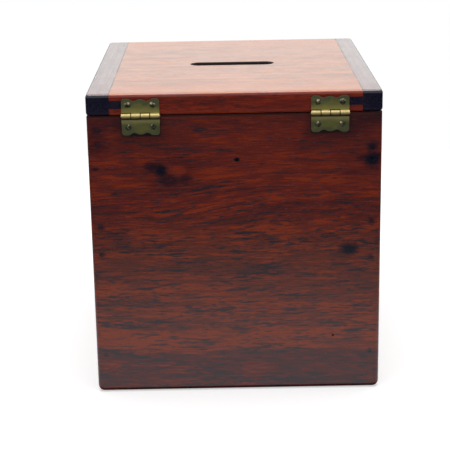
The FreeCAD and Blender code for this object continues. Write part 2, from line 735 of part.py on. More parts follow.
def lock_bolt():
    """The sliding bar with its talon lugs and fingers, slotted over the stumps."""
    bolt = bolt_part(BAR_LEFT, BAR_RIGHT, BAR_BOTTOM, BAR_TOP)
    for x0, x1 in talon_lugs():
        bolt = bolt.fuse(bolt_part(x0, x1, KEY_Z + TALON_HEIGHT, BAR_BOTTOM))
    for shank in HOOK_SHANKS:
        bolt = bolt.fuse(bolt_finger(shank))
    bolt = bolt.removeSplitter()
    r = STUMP_RADIUS + STUMP_SLOT_CLEARANCE
    for x in STUMPS:
        slot = bolt_part(x - BOLT_TRAVEL, x, BAR_MIDDLE - r, BAR_MIDDLE + r)
        for end in (x - BOLT_TRAVEL, x):
            slot = slot.fuse(rod(r, Vector(end, BOLT_Y, BAR_MIDDLE), OUT_OF_BACK, BOLT_THICKNESS))
        bolt = bolt.cut(slot)
    return bolt


def lock_spring():
    """A bowed strip from its post to under the bar, which it presses to hold the bolt."""
    x, z = spring_post()
    tip = talon_lugs()[0][0] - SPRING_LUG_GAP
    start = Vector(x, BOLT_Y, z + STUMP_RADIUS)
    end = Vector(tip, BOLT_Y, BAR_BOTTOM - LOCK_CLEARANCE - SPRING_THICKNESS)
    middle = (start + end) / 2 + UP * SPRING_BOW
    lift = UP * SPRING_THICKNESS
    lower = arc(start, middle, end)
    upper = arc(start + lift, middle + lift, end + lift)
    sides = [line(start, start + lift), line(end, end + lift)]
    outline = Part.Wire(Part.__sortEdges__([upper, lower] + sides))
    return extruded(outline, Vector(0, BOLT_THICKNESS, 0))


# Strike on the lid


def strike_y():
    """Front and back edges of the strike, centred over the hooks' line."""
    middle = (LOCK_CAP_FRONT + LOCK_FACE) / 2
    return middle - STRIKE_WIDTH / 2, middle + STRIKE_WIDTH / 2


def strike_recess():
    half = STRIKE_LENGTH / 2 + LOCK_FIT
    front, back = strike_y()
    return block(
        -half, half, front - LOCK_FIT, back + LOCK_FIT, LID_BOTTOM, LID_BOTTOM + STRIKE_THICKNESS
    )


def strike_screw_places():
    """Centres of the strike's screws, sunk so that their crowns stay level with the plate."""
    x = STRIKE_LENGTH / 2 - STRIKE_SCREW_INSET
    y = sum(strike_y()) / 2
    return [Vector(sign * x, y, LID_BOTTOM + SCREW_DOME) for sign in SIDES.values()]


def strike_screw_holes():
    return screws_at(strike_screw_places(), DOWN, hole=True)


def hook(shank):
    y0, y1 = HOOK_Y - HOOK_THICKNESS / 2, HOOK_Y + HOOK_THICKNESS / 2
    stem = block(shank, shank + HOOK_SHANK, y0, y1, HOOK_BOTTOM, LID_BOTTOM)
    nose = block(shank - HOOK_NOSE, shank, y0, y1, HOOK_BOTTOM, HOOK_BOTTOM + HOOK_NOSE_HEIGHT)
    return stem.fuse(nose)


def strike_plate():
    half = STRIKE_LENGTH / 2
    front, back = strike_y()
    plate = block(-half, half, front, back, LID_BOTTOM, LID_BOTTOM + STRIKE_THICKNESS)
    for shank in HOOK_SHANKS:
        plate = plate.fuse(hook(shank))
    return cut_all(plate.removeSplitter(), strike_screw_holes())


# Key and escutcheon


def key_bit(inner):
    """The flag that drives the bolt, with one ward cut."""
    half = KEY_BIT_THICKNESS / 2
    top = KEY_Z + KEY_BIT_RADIUS
    bit = block(-half, half, inner - KEY_BIT_LENGTH, inner, KEY_Z, top)
    ward = inner - (KEY_BIT_LENGTH + KEY_WARD_WIDTH) / 2
    return bit.cut(block(-half, half, ward, ward + KEY_WARD_WIDTH, top - KEY_WARD_DEPTH, top))


def key():
    """A pipe key in the lock, its bit up in the bolt's notch and its ring bow outside."""
    inner = LOCK_BACK - LOCK_CLEARANCE
    collar = FRONT - ESCUTCHEON_THICKNESS - KEY_COLLAR_STANDOFF
    knop = Vector(0, collar - KEY_NECK, KEY_Z)
    pipe_end = Vector(0, inner, KEY_Z)
    stem = rod(KEY_SHANK_RADIUS, pipe_end, OUT_OF_FRONT, inner - knop.y).fuse(key_bit(inner))
    bore = KEY_BIT_LENGTH + DRILL_PIN_TIP + 2 * LOCK_CLEARANCE
    stem = stem.cut(rod(DRILL_PIN_RADIUS + PIN_RUNNING_CLEARANCE, pipe_end, OUT_OF_FRONT, bore))
    ring = rod(KEY_COLLAR_RADIUS, Vector(0, collar, KEY_Z), OUT_OF_FRONT, KEY_COLLAR_LENGTH)
    ring = rounded(ring, KEY_COLLAR_ROUND, lambda b: b.YLength < KEY_COLLAR_LENGTH / 2)
    ball = Part.makeSphere(KEY_KNOP_RADIUS, knop)
    centre = knop - Vector(0, KEY_BOW_RADIUS, 0)
    bow = Part.makeTorus(KEY_BOW_RADIUS, KEY_BOW_WIRE_RADIUS, centre, Vector(1, 0, 0))
    return stem.fuse(ring).fuse(ball).fuse(bow).removeSplitter()


def escutcheon_middle():
    """Height of the oval's centre, half way between the keyhole's top and bottom."""
    top = KEY_SHANK_RADIUS + KEYHOLE_CLEARANCE
    bottom = KEY_BIT_RADIUS + KEYHOLE_CLEARANCE
    return KEY_Z + (top - bottom) / 2


def escutcheon_pin_places():
    reach = ESCUTCHEON_HEIGHT / 2 - ESCUTCHEON_PIN_INSET
    y = FRONT - ESCUTCHEON_THICKNESS
    return [Vector(0, y, escutcheon_middle() + s * reach) for s in (-1, 1)]


def escutcheon_pin_holes():
    return [
        rod(ESCUTCHEON_PIN_RADIUS + NAIL_CLEARANCE, p, OUT_OF_BACK, ESCUTCHEON_PIN_LENGTH + NAIL_CLEARANCE)
        for p in escutcheon_pin_places()
    ]


def escutcheon():
    """An oval plate round the keyhole."""
    centre = Vector(0, FRONT, escutcheon_middle())
    tall, wide = ESCUTCHEON_HEIGHT / 2, ESCUTCHEON_WIDTH / 2
    ellipse = Part.Ellipse(centre + Vector(0, 0, tall), centre + Vector(wide, 0, 0), centre)
    plate = extruded(Part.Wire(ellipse.toShape()), Vector(0, -ESCUTCHEON_THICKNESS, 0))
    plate = rounded(plate, ESCUTCHEON_ROUND, lambda b: b.YMax < FRONT - ESCUTCHEON_THICKNESS / 2)
    hole = keyhole(KEY_SHANK_RADIUS + KEYHOLE_CLEARANCE, FRONT - ESCUTCHEON_THICKNESS, FRONT)
    return cut_all(plate.cut(hole), escutcheon_pin_holes())


def escutcheon_pin():
    """A round-headed pin about Z, its head standing on z 0."""
    corners = [
        point(0, ESCUTCHEON_PIN_DOME),
        point(0, -ESCUTCHEON_PIN_LENGTH),
        point(ESCUTCHEON_PIN_RADIUS, -ESCUTCHEON_PIN_LENGTH),
        point(ESCUTCHEON_PIN_RADIUS, 0),
        point(ESCUTCHEON_PIN_HEAD, 0),
    ]
    return turned(polyline(corners) + [cap_arc(ESCUTCHEON_PIN_HEAD, ESCUTCHEON_PIN_DOME)])


def escutcheon_pins():
    return [placed(escutcheon_pin(), p, OUT_OF_FRONT) for p in escutcheon_pin_places()]


# Assembly


def build():
    """Every sub-part under the name of its node."""
    case, lid = case_envelope(), lid_envelope()
    nodes = {
        "back_board": back_board(case),
        "front_board": front_board(case),
        "bottom_board": bottom_board(),
        "back_nails": group(nails(BACK, OUT_OF_BACK)),
        "front_nails": group(nails(FRONT, OUT_OF_FRONT)),
        "lid_panel": lid_panel(lid),
        "lid_hinge_screws": group(screws_at(hinge_screw_places(1), OUT_OF_BACK)),
        "case_hinge_screws": group(screws_at(hinge_screw_places(-1), OUT_OF_BACK)),
        "lock_plate": lock_plate(),
        "lock_cap": lock_cap(),
        "lock_pins": group(lock_pins()),
        "lock_rivets": group(lock_rivets()),
        "lock_spring": lock_spring(),
        "lock_bolt": lock_bolt(),
        "lock_screws": group(screws_at(lock_screw_places(), OUT_OF_BACK)),
        "strike_plate": strike_plate(),
        "strike_screws": group(screws_at(strike_screw_places(), DOWN)),
        "escutcheon": escutcheon(),
        "escutcheon_pins": group(escutcheon_pins()),
        "key": key(),
    }
    for side, sign in SIDES.items():
        nodes[f"{side}_side_board"] = side_board(case, sign)
        nodes[f"lid_end_{side}"] = lid_end(lid, side)
        nodes[f"{side}_hinge_lid_leaf"] = lid_leaf(side)
        nodes[f"{side}_hinge_case_leaf"] = case_leaf(side)
        nodes[f"{side}_hinge_pin"] = hinge_pin(side)
    return nodes


def main():
    os.makedirs("parts", exist_ok=True)
    for name, shape in build().items():
        solids = shape.Solids
        if not solids or not all(s.isValid() and s.Volume > 0 for s in solids):
            raise ValueError(f"{name} is not made of sound solids")
        shape.exportStep(f"parts/{name}.step")
        print(f"{name}: {len(solids)} solid(s), {sum(s.Volume for s in solids):.1f} mm3")


main()
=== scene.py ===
import math

import bmesh
import bpy
from mathutils import Matrix, Vector


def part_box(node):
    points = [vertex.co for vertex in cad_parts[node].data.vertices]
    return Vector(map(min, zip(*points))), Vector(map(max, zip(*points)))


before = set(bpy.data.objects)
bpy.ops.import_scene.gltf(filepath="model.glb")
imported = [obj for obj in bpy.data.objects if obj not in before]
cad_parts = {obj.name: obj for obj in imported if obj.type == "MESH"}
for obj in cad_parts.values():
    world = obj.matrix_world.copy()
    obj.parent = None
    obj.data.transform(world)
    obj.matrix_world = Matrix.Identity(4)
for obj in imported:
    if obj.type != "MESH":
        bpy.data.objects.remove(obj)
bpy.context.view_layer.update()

# The looks of an old hardwood donation box: red boards under a worn varnish, near-black lid ends,
# aged brass hinges, iron nails, and a lock and key of brass and steel.
# Metres, Z up. The hinges are on the back, +Y, and the keyhole is in the front, -Y.
# The finishes work in millimetres, which is the unit of every size below that isn't said to be in metres.
# Colours are linear. A pair of limits says where a fade begins and where it is complete.

PER_METRE = 1000.0
BLACK = (0, 0, 0)
WHITE = (1, 1, 1)
SIDES = ("left", "right")

# Camera, from the photograph's own perspective: its place in metres, its turns in degrees.
# A camera looks straight down until it is turned level. The lens is in millimetres.
CAMERA_PLACE = Vector((0.00946, 1.03875, 0.39811))
CAMERA_HEADING = 179.894
CAMERA_PITCH = -16.487
CAMERA_ROLL = 1.012
CAMERA_LEVEL = 90
CAMERA_LENS = 109.698

# Studio, in metres: a sheet of pale paper and a large soft lamp above it
PAPER_HALF = 0.62
PAPER_GAP = 0.0002
PAPER_TONE = 0.72
PAPER_GLOW = 0.5
TOP_LAMP_SIZE = 1.4
TOP_LAMP_HEIGHT = 1.5
TOP_LAMP_POWER = 27.0

# The paper in reflections, in metres: bright near the box and dark far from it. It is also dark to rays
# that meet it steeply, as from the roundings under the lid: a painted shadow of the box on the paper.
# Slant is 0 straight on and 1 along the sheet.
PAPER_SEEN_IN_GLOSS = (0.93, 0.96, 1.0)
PAPER_BRIGHT_WITHIN = 0.11
PAPER_DARK_BEYOND = 0.62
SLANT_BLEND = 0.5
SHADED_SLANT = (0.25, 0.50)

# The surround in reflections: a pale sky, weaker overhead, and darkness below the horizon
SKY_SEEN_IN_GLOSS = 1.0
ZENITH_SEEN_IN_GLOSS = 0.55
LOW_SKY = (0.95, 0.30)
DARK_SEEN_IN_GLOSS = 0.03
HORIZON_SOFTNESS = 0.05
AMBIENT = 0.18

# Wood tones
RED_WOOD = {
    "deep": (0.100, 0.0215, 0.0210),
    "body": (0.176, 0.0240, 0.0176),
    "bright": (0.334, 0.0404, 0.0096),
    "dash": (0.036, 0.0245, 0.0320),
}
LID_EDGE_WOOD = {
    "deep": (0.170, 0.0230, 0.0170),
    "body": (0.260, 0.0270, 0.0140),
    "bright": (0.360, 0.0420, 0.0130),
    "dash": (0.095, 0.0200, 0.0170),
}
FADED_WOOD = {
    "deep": (0.250, 0.0700, 0.0180),
    "body": (0.440, 0.1280, 0.0240),
    "bright": (0.610, 0.1940, 0.0340),
    "dash": (0.170, 0.0560, 0.0240),
}
HANDLED_WOOD = (0.510, 0.1240, 0.0100)
BARE_WOOD = {
    "deep": (0.120, 0.0380, 0.0200),
    "body": (0.220, 0.0820, 0.0430),
    "bright": (0.300, 0.1300, 0.0700),
    "dash": (0.070, 0.0260, 0.0160),
}
DARK_WOOD = {
    "deep": (0.0070, 0.0080, 0.0230),
    "body": (0.0120, 0.0120, 0.0350),
    "bright": (0.0260, 0.0170, 0.0320),
    "dash": (0.0040, 0.0050, 0.0140),
}
WORN_DARK_WOOD = {
    "deep": (0.120, 0.0560, 0.0520),
    "body": (0.190, 0.0960, 0.0900),
    "bright": (0.280, 0.1600, 0.1500),
    "dash": (0.060, 0.0300, 0.0290),
}
HANDLED_DARK_WOOD = (0.150, 0.0400, 0.0300)
BARE_DARK_WOOD = {
    "deep": (0.0160, 0.0110, 0.0100),
    "body": (0.0260, 0.0170, 0.0150),
    "bright": (0.0480, 0.0280, 0.0220),
    "dash": (0.0090, 0.0070, 0.0070),
}
RUBBED_WOOD = (0.230, 0.0420, 0.0220)
AMBER_WOOD = (0.260, 0.1000, 0.0200)
EMBER = (0.330, 0.0360, 0.0100)
# Stains, and the painted shade of the worm hole
STAIN_AND_HOLE_SHADE = (0.0090, 0.0080, 0.0190)
# Painted shade for the case boards, with dirt round the hinges
SHADE_AND_GRIME = (0.0200, 0.0130, 0.0170)
# Painted shade in the coin slot
SLOT_SHADE = (0.0160, 0.0080, 0.0060)
JOINT_DIRT = (0.0500, 0.0240, 0.0200)
# Painted shade on the case's rim under the lid
RIM_SHADE = (0.0620, 0.0230, 0.0210)

# Metal tones
HINGE_OLIVE = (0.125, 0.130, 0.060)
HINGE_GOLD = (0.220, 0.208, 0.060)
HINGE_GREEN = (0.110, 0.150, 0.070)
HINGE_YELLOW = (0.390, 0.360, 0.105)
HINGE_BARREL = (0.430, 0.345, 0.155)
# A painted highlight on the bend, and painted shade in the crease and the knuckle gaps
HINGE_BEND_HIGHLIGHT = (0.400, 0.375, 0.190)
HINGE_SHADE = (0.020, 0.017, 0.010)
NAIL_IRON = (0.036, 0.018, 0.032)
NAIL_RUST = (0.062, 0.031, 0.050)

# Aged metals: clean colour, colour of the tarnish, size of its patches, roughness, and share that is dull
SCREW_BRASS = ((0.50, 0.45, 0.28), (0.05, 0.055, 0.038), 2.0, 0.24, 0.95)
LOCK_BRASS = ((0.38, 0.29, 0.12), (0.15, 0.11, 0.05), 8.0, 0.34, 0.7)
LOCK_STEEL = ((0.40, 0.39, 0.37), (0.12, 0.10, 0.085), 6.0, 0.34, 0.5)
KEY_STEEL = ((0.36, 0.34, 0.32), (0.09, 0.07, 0.06), 4.0, 0.30, 0.55)

# Turns in degrees that lay the grain along X or along Y, on upright boards and on flat ones
ALONG_X = (-90, 0, 0)
FLAT_ALONG_X = (0, 0, 0)
ALONG_Y = (-90, -90, 0)
FLAT_ALONG_Y = (0, 0, -90)

# Shifts that give each board a stretch of figure of its own
SHIFTS = {
    "back_board": (40, 13, 5),
    "front_board": (730, 410, 90),
    "left_side_board": (310, 90, 640),
    "right_side_board": (950, 260, 370),
    "lid_panel": (520, 75, 33),
    "lid_end_left": (210, 60, 15),
    "lid_end_right": (820, 60, 15),
    "bottom_board": (80, 900, 20),
}

# Weight of the clear coat on top of each piece of the lid
LID_POLISH = {"lid_panel": 0.59, "lid_end_left": 0.93, "lid_end_right": 0.85}

# Marks in the back board: middle (x, z), half width and half height, and depth of tone.
# They reach some way into the board.
SMUDGE = (
    ((-95.4, 170.8), (7.6, 7.2), 1.00),
    ((-95.4, 179.2), (4.4, 4.8), 0.65),
    ((-88.6, 171.2), (6.4, 2.8), 0.75),
)
BACK_MARKS = (
    *SMUDGE,
    ((57.2, 167.4), (6.6, 4.8), 0.85),
    ((51.8, 164.6), (6.2, 6.4), 1.00),
    ((45.5, 157.8), (9.4, 5.0), 0.80),
    ((36.2, 158.8), (7.8, 5.0), 0.78),
    ((41.0, 172.2), (12.0, 4.6), 0.45),
    ((46.0, 164.0), (24.0, 14.0), 0.40),
    ((-79.6, 105.6), (7.4, 5.2), 1.00),
    ((95.5, 189.0), (9.0, 15.0), 0.55),
    ((87.0, 198.0), (15.0, 7.0), 0.50),
    ((-89.5, 196.0), (16.0, 9.0), 0.60),
    ((-87.0, 165.0), (17.0, 17.0), 0.30),
    ((97.0, 166.7), (3.0, 1.2), 0.85),
)
KNOT_HEART = ((39.7, 164.6), (5.0, 3.6))
# The worm hole is a painted dark spot: painted shade of a hole
WORM_HOLE = ((-1.2, 171.8), (2.1, 1.6))
MARK_REACH = 9
MARK_RIM_CELL = (6.0, 6.0, 3.0)
MARK_RAGGEDNESS = 0.8
WORM_HOLE_RAGGEDNESS = 0.3
WORM_HOLE_RIM = (1.30, 0.70)
EMBER_SHARE = 0.3

# Bands across the back board: height of the middle, half height, brightening, and gathering of dark dashes
BACK_BANDS = (
    (178.0, 34.0, 0.01, -0.05),
    (157.0, 7.0, 0.03, 0.00),
    (114.0, 10.0, 0.01, 0.03),
    (90.0, 6.0, 0.00, 0.04),
    (72.0, 12.0, 0.02, 0.02),
    (54.0, 7.0, 0.04, 0.04),
    (39.0, 10.0, 0.08, 0.00),
    (17.0, 16.0, -0.05, 0.04),
)

# How the bands wave, the shares of their half height where they end and where they are full, and how far
# outside the board's inner face they begin to show
BAND_WAVE_CELL = (60, 60, 14)
BAND_WAVE = 12
BAND_END = 1.25
BAND_FULL = 0.5
BANDS_SHOW = (0.5, 5.0)

# Heights between which the back board's figure becomes calmer, and its wood turns amber and back again
CALM_HEIGHTS = (130.0, 165.0)
CALMNESS = 0.35
AMBER_BELOW = (140.0, 105.0)
AMBER_ABOVE = (22.0, 36.0)
AMBER_SHARE = 0.1

# Where the back board's grain climbs past its knot: from x to x, middle height, half height, and rise
CLIMB = (55.0, -35.0, 143.0, 42.0, 9.0)

# Every noise swings about this value
NOISE_MIDDLE = 0.5

# Layers of the figure: the size of a noise cell along, across and through the grain
SWAY_CELL = (110, 28, 28)
RIPPLE_CELL = (26, 9, 9)
BAND_CELL = (160, 9, 14)
PATCH_CELL = (34, 14, 14)
FLAME_CELL = (24, 2.5, 2.8)
STREAK_CELL = (13, 1.35, 1.35)
CROWD_CELL = (45, 8, 12)
LONG_DASH_CELL = (12, 1.4, 1.4)
SHORT_DASH_CELL = (6, 1.1, 1.1)
PORE_CELL = (4.0, 0.34, 0.34)
FIBRE_CELL = (12, 0.5, 0.5)

# How far the grain is bent, and the share of each layer in the tone
SWAY_REACH = 4
RIPPLE_REACH = 0.9
BAND_SHARE = 0.25
PATCH_SHARE = 0.15
FLAME_SHARE = 0.30
STREAK_SHARE = 0.30

# How unevenly the dashes crowd, and the limits of dashes and pores in their noise
CROWDING = 0.35
LONG_DASHES = (0.54, 0.71)
SHORT_DASHES = (0.55, 0.72)
SHORT_DASH_DEPTH = 0.85
PORES = (0.58, 0.70)

# Tones at which deep wood turns to body and body to bright, and how far fibre, dashes and pores change them
DEEP_TO_BODY = (0.41, 0.50)
BODY_TO_BRIGHT = (0.50, 0.60)
FIBRE_SHIFT = 0.30
DASH_DEPTH = 0.95
PORE_DEPTH = 0.35

# Varnish: its relief over the wood, its roughness, and its clear coat. A bump is a strength and a depth.
FIBRE_RELIEF = 0.35
PORE_RELIEF = 0.25
DASH_RELIEF = 0.25
WOOD_BUMP = (0.20, 0.12)
VARNISH_ROUGHNESS = 0.15
TONE_ROUGHNESS = 0.06
PORE_ROUGHNESS = 0.10
WORN_ROUGHNESS = 0.60
VARNISH_COAT = 0.06
PORE_COAT_LOSS = 0.3
COAT_ROUGHNESS = 0.12

# The case: limits past a face, and shares of painted shade on the wood
BARE_PAST_INSIDE = (0.3, 0.1)
BACK_FACE = (-2, -0.5)
UNDER_LID = (-12, -2)
UPPER_EDGE = (-1.3, -0.5)
RIM_WIDTH = (1.6, 0.8)
FOOT_HEIGHTS = (3.8, 1.6)
FOOT_SHADE = 0.6
UPPER_EDGE_SHADE = 0.5

# Share of the lid's painted shadow in the wood just under the lid, and how much less there is per
# millimetre towards +X
UNDER_LID_SHADE = 0.28
UNDER_LID_SHADE_PER_MM = 0.0025

# Painted shade and dirt by the distance from a hinge leaf: two limits and a depth. Close to the leaf it is
# painted shade and dirt, the faint cloud is dirt, and the painted shadow beneath is shorter than the leaf.
LEAF_LINE = (1.6, 0.2, 0.8)
LEAF_CLOUD = (11.0, 0.0, 0.5)
SHADOW_BENEATH = (2.0, 0.6, 0.95)
SHADOW_SHORTER = 0.8

# Rubbed arrises: how uneven they are, how wide, and the share of rubbed wood in them
RUB_CELL = 14
RUB_UNEVEN = 7
RUB_WIDTH = (1.8, 0.0)
RUB_SHARE = 0.45

# Stains round the nails, how much of them dark wax hides, and the heights between which the wax sets in
NAIL_STAIN_HALF = (3.4, 30, 2.6)
NAIL_STAIN_CELL = 2.6
NAIL_STAIN_RAGGEDNESS = 1.2
NAIL_STAIN_SHARE = 0.65
WAX_HIDES = 0.45
WAXED_BELOW = (70, 35)

# The lid: brighter and darker patches along its grain, and the part where it is held, near front and back
LID_PATCH_CELL = (60, 14, 14)
LID_PATCHES = 0.12
HELD_CELL = 30
HELD_UNEVEN = 60
HELD_FROM = (60, 118)
HELD_SHARE = 0.7

# Limits past the lid's top and bottom, and the distance from mid height at which its edges are rubbed
FADED_TOP = (-0.8, -0.2)
BARE_BOTTOM = (0.4, 0.1)
RUBBED_OFF_MIDDLE = (2.5, 7.5)
RUBBED_LID_SHARE = 0.4

# Half the length and half the width of the coin slot, whose ends are round
SLOT_HALF = Vector((31.0, 6.35))

# Dirt in the joints between panel and ends, in broken lines, and painted shade in the slot and on its rim
JOINT_WIDTH = (0.7, 0.3)
JOINT_BREAK_CELL = 24
JOINT_BREAKS = (0.25, 0.60)
JOINT_DEPTH = 0.7
JOINT_COAT_LOSS = 0.5
SLOT_RIM = (1.1, 0.7)

# Scuffs in the polish: lines along the grain and round patches, and how much coat they cost
SCUFF_LINE_CELL = (150, 2.6, 2.6)
SCUFF_LINE_SHARE = 0.6
SCUFF_PATCH_CELL = 16
SCUFF_PATCH_SHARE = 0.4
SCUFFS = (0.38, 0.62)
SCUFF_COAT_LOSS = 0.22

# Every metal: shares of mottle and speck in its relief, and the strength and depth of that
MOTTLE_RELIEF = 0.6
SPECK_RELIEF = 0.4
METAL_BUMP = (0.25, 0.05)

# Hinge leaves: unevenness of their colour, how far in from the edge they turn golden, and green patches
HINGE_MOTTLE_CELL = 4.5
HINGE_SPECK_CELL = 0.8
MOTTLE_UNEVEN = 14
SPECK_UNEVEN = 3
GOLDEN_INWARD = (0.8, 5.5)
GREEN_CELL = (7.0, 7.0, 5.0)
GREEN_PATCHES = (0.48, 0.62)
GREEN_SHARE = 0.45

# Distances from the hinge axis: the yellow part of a leaf, the barrel, and the painted shade in the crease
# beside it
YELLOW_WITHIN = (7.5, 2.5)
YELLOW_UNEVEN = 0.3
BARREL_WITHIN = (2.9, 2.3)
CREASE_WITHIN = (3.4, 2.6)

# Depths below the hinge axis: the crease, which is painted shade, and the bend under it, which has a
# painted highlight, each with upper and lower limits
CREASE_UPPER = (0.7, 1.7)
CREASE_LOWER = (3.2, 2.4)
CREASE_SHARE = 0.75
BEND_UPPER = (2.4, 3.0)
BEND_LOWER = (5.6, 3.2)
BEND_HIGHLIGHT_SHARE = 0.6

# Gaps between the knuckles, as shares of half the hinge's width, and the painted shade in them by the
# distance
KNUCKLE_GAPS = (-0.5, 0.0, 0.5)
GAP_SHADE = (0.50, 0.15)
HINGE_SHADE_SHARE = 0.9

# Values to start from: outside every leaf, and far from every gap
OUTSIDE_LEAF = -1.0
FAR_FROM_GAP = 9.0

# How metallic and how rough the leaves are, and what the barrel and the specks add
LEAF_METALLIC = 0.55
BARREL_METALLIC = 0.40
LEAF_ROUGHNESS = 0.42
BARREL_ROUGHNESS = 0.13
HINGE_SPECK_ROUGHNESS = 0.14

# Nails: rust, varnish over it, and wax over the lowest ones
RUST_CELL = 1.2
RUST = (0.40, 0.65)
WAX_DEPTH = 0.85
NAIL_ROUGHNESS = 0.15
RUST_ROUGHNESS = 0.05
NAIL_COAT = 0.05
RUST_COAT = 0.02
NAIL_BUMP = (0.12, 0.05)

# Aged metal: the limits of its tarnish, which fall as the dull share grows, and what the tarnish changes.
# A patch is this many times the size of a speck.
SPECKS_PER_PATCH = 7
SPECK_TARNISH = 0.4
TARNISH = (0.72, 0.92)
TARNISH_MOVE = 0.4
TARNISH_METAL_LOSS = 0.25
TARNISH_ROUGHNESS = 0.18
SPECK_ROUGHNESS = 0.10

# Corners of a mesh that lie closer than this, in metres, are one
MERGE_WITHIN = 1e-6


def corner(node, which):
    """A node's lowest (0) or highest (1) corner in millimetres."""
    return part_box(node)[which] * PER_METRE


def span(node):
    """A node's middle and half its size in millimetres."""
    low = corner(node, 0)
    high = corner(node, 1)
    return (low + high) / 2, (high - low) / 2


def past(face, steps):
    """Limits at the given steps past a face, or short of it where a step is negative."""
    return [face + step for step in steps]


def thrice(value):
    """One value three times, for an even cell, a scale or a grey."""
    return (value, value, value)


# Faces of the case and the lid, the lid's joints and the hinge axis, from the frame
SIDE = corner("back_board", 1).x
BACK = corner("back_board", 1).y
INNER_BACK = corner("back_board", 0).y
INNER_SIDE = corner("right_side_board", 0).x
CASE_TOP = corner("back_board", 1).z
LID_BOTTOM = corner("lid_panel", 0).z
LID_TOP = corner("lid_panel", 1).z
LID_JOINTS = [corner("lid_panel", end).x for end in (0, 1)]
HINGE_AXIS = span("right_hinge_pin")[0]


# Node trees


class Socket:
    """One value in a node tree. Sums and products with it become Math nodes."""

    def __init__(self, nodes, output):
        self.nodes = nodes
        self.output = output

    def math(self, operation, first, second):
        return self.nodes.node("ShaderNodeMath", {"operation": operation}, {0: first, 1: second})

    def __add__(self, other):
        return self.math("ADD", self, other)

    def __sub__(self, other):
        return self.math("SUBTRACT", self, other)

    def __rsub__(self, other):
        return self.math("SUBTRACT", other, self)

    def __mul__(self, other):
        return self.math("MULTIPLY", self, other)

    def __truediv__(self, other):
        return self.math("DIVIDE", self, other)

    def __abs__(self):
        return self.math("ABSOLUTE", self, 0.0)

    def least(self, other):
        return self.math("MINIMUM", self, other)

    def most(self, other):
        return self.math("MAXIMUM", self, other)

    def sibling(self, name):
        """Another output of the same node."""
        return Socket(self.nodes, self.output.node.outputs[name])

    __radd__ = __add__
    __rmul__ = __mul__


class Nodes:
    """A node tree being filled."""

    def __init__(self, tree):
        self.tree = tree

    def fill(self, made, inputs):
        """Sets or links a node's sockets, by name or number."""
        for name, value in inputs.items():
            if isinstance(value, Socket):
                self.tree.links.new(value.output, made.inputs[name])
            else:
                made.inputs[name].default_value = value

    def node(self, kind, settings, inputs, out=0):
        """Adds a node, makes its settings, fills its sockets and gives one of its outputs."""
        made = self.tree.nodes.new(kind)
        for name, value in settings.items():
            setattr(made, name, value)
        self.fill(made, inputs)
        return Socket(self, made.outputs[out])

    def constant(self, value):
        """A socket that holds one value everywhere."""
        return self.node("ShaderNodeMath", {"operation": "ADD"}, {0: value, 1: 0.0})

    def place(self, turn=(0, 0, 0), shift=(0, 0, 0)):
        """Object coordinates in millimetres, turned by degrees about X, Y and Z, then shifted."""
        seen = self.node("ShaderNodeTexCoord", {}, {}, "Object")
        sockets = {
            "Vector": seen,
            "Scale": thrice(PER_METRE),
            "Rotation": [math.radians(angle) for angle in turn],
            "Location": shift,
        }
        return self.node("ShaderNodeMapping", {"vector_type": "POINT"}, sockets)

    def axes(self, vector):
        """A vector's three parts."""
        x = self.node("ShaderNodeSeparateXYZ", {}, {0: vector})
        return x, x.sibling("Y"), x.sibling("Z")

    def joined(self, x, y, z):
        """A vector of three parts."""
        return self.node("ShaderNodeCombineXYZ", {}, {0: x, 1: y, 2: z})

    def vector(self, operation, first, second, out=0):
        return self.node("ShaderNodeVectorMath", {"operation": operation}, {0: first, 1: second}, out)

    def length(self, vector):
        return self.vector("LENGTH", vector, (0, 0, 0), "Value")

    def noise(self, place, cell, detail=2.0):
        """Soft noise about NOISE_MIDDLE, with cells of the given size along each axis."""
        cells = self.vector("DIVIDE", place, cell)
        return self.node("ShaderNodeTexNoise", {}, {"Vector": cells, "Scale": 1.0, "Detail": detail})

    def swing(self, place, cell, detail=2.0):
        """The same noise about zero."""
        return self.noise(place, cell, detail) - NOISE_MIDDLE

    def fade(self, value, start, end):
        """0 at start and 1 at end, eased between."""
        sockets = {"Value": value, "From Min": start, "From Max": end}
        return self.node("ShaderNodeMapRange", {"interpolation_type": "SMOOTHSTEP"}, sockets)

    def mix(self, share, first, second):
        """A colour between two, given as sockets or as (r, g, b)."""
        colours = [c if isinstance(c, Socket) else (*c, 1.0) for c in (first, second)]
        # A Mix node's sockets for colours are numbered after those for numbers and vectors
        sockets = {0: share, 6: colours[0], 7: colours[1]}
        return self.node("ShaderNodeMix", {"data_type": "RGBA"}, sockets, 2)

    def bump(self, height, strength, depth):
        """A normal from a height of 0 to 1 that stands for a depth in millimetres."""
        sockets = {"Height": height, "Strength": strength, "Distance": depth / PER_METRE}
        return self.node("ShaderNodeBump", {}, sockets)


def finish(name, paint, *details):
    """A material whose paint(nodes, *details) gives the values of its shader's sockets."""
    material = bpy.data.materials.new(name)
    material.use_nodes = True
    nodes = Nodes(material.node_tree)
    nodes.fill(material.node_tree.nodes["Principled BSDF"], paint(nodes, *details))
    return material


# Wood


